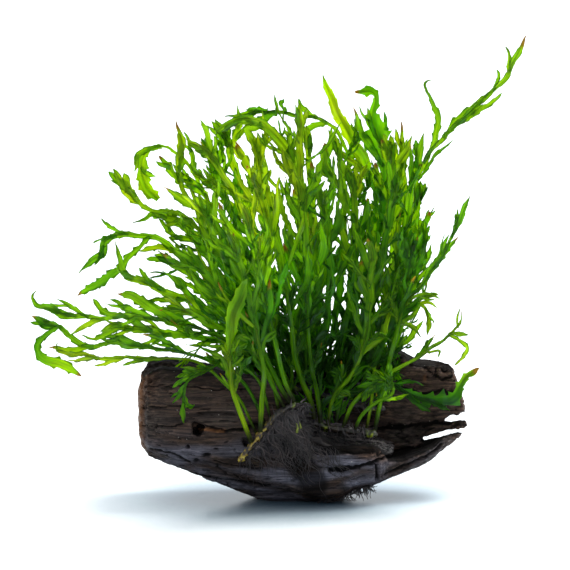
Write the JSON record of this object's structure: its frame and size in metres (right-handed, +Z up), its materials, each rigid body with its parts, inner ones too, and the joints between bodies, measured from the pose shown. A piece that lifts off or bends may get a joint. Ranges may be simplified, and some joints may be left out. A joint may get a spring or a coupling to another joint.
{
  "type": "african water fern on driftwood",
  "caption": "Aquarium fern with lobed strap leaves, its creeping stems and roots gripping a hollow driftwood log.",
  "frame": {"origin": "middle of the flat on the log's underside, on which the plant stands", "axes": "+X to the right along the log as the picture shows it, +Y away from the viewer, +Z up"},
  "size_m": [0.2444, 0.1269, 0.2276],
  "materials": {
    "driftwood": "wet, dark, weathered grain",
    "roots": "fine dark fibres",
    "rhizome": "scaly, golden brown",
    "leaf": "thin, wet, lets light through"
  },
  "bodies": {
    "root": {"driftwood": "driftwood", "root_clump": "roots", "root_mat": "roots", "rhizome_front": "rhizome", "rhizome_mid": "rhizome", "rhizome_rear": "rhizome", "rhizome_back": "rhizome", "frond_front_1": "leaf", "frond_front_2": "leaf", "frond_front_3": "leaf", "frond_front_4": "leaf", "frond_front_5": "leaf", "frond_front_6": "leaf", "frond_front_7": "leaf", "frond_front_8": "leaf", "frond_front_9": "leaf", "frond_mid_1": "leaf", "frond_mid_2": "leaf", "frond_mid_3": "leaf", "frond_mid_4": "leaf", "frond_mid_5": "leaf", "frond_mid_6": "leaf", "frond_mid_7": "leaf", "frond_mid_8": "leaf", "frond_mid_9": "leaf", "frond_mid_10": "leaf", "frond_mid_11": "leaf", "frond_mid_12": "leaf", "frond_rear_1": "leaf", "frond_rear_2": "leaf", "frond_rear_3": "leaf", "frond_rear_4": "leaf", "frond_rear_5": "leaf", "frond_rear_6": "leaf", "frond_rear_7": "leaf", "frond_rear_8": "leaf", "frond_rear_9": "leaf", "frond_rear_10": "leaf", "frond_rear_11": "leaf", "frond_rear_12": "leaf", "frond_rear_13": "leaf", "frond_rear_14": "leaf", "frond_back_1": "leaf", "frond_back_2": "leaf", "frond_back_3": "leaf", "frond_back_4": "leaf", "frond_back_5": "leaf", "frond_back_6": "leaf", "frond_back_7": "leaf", "frond_back_8": "leaf", "frond_back_9": "leaf", "frond_back_10": "leaf", "frond_back_11": "leaf", "frond_back_12": "leaf", "frond_back_13": "leaf", "frond_back_14": "leaf", "frond_back_15": "leaf"}
  },
  "joints": []
}
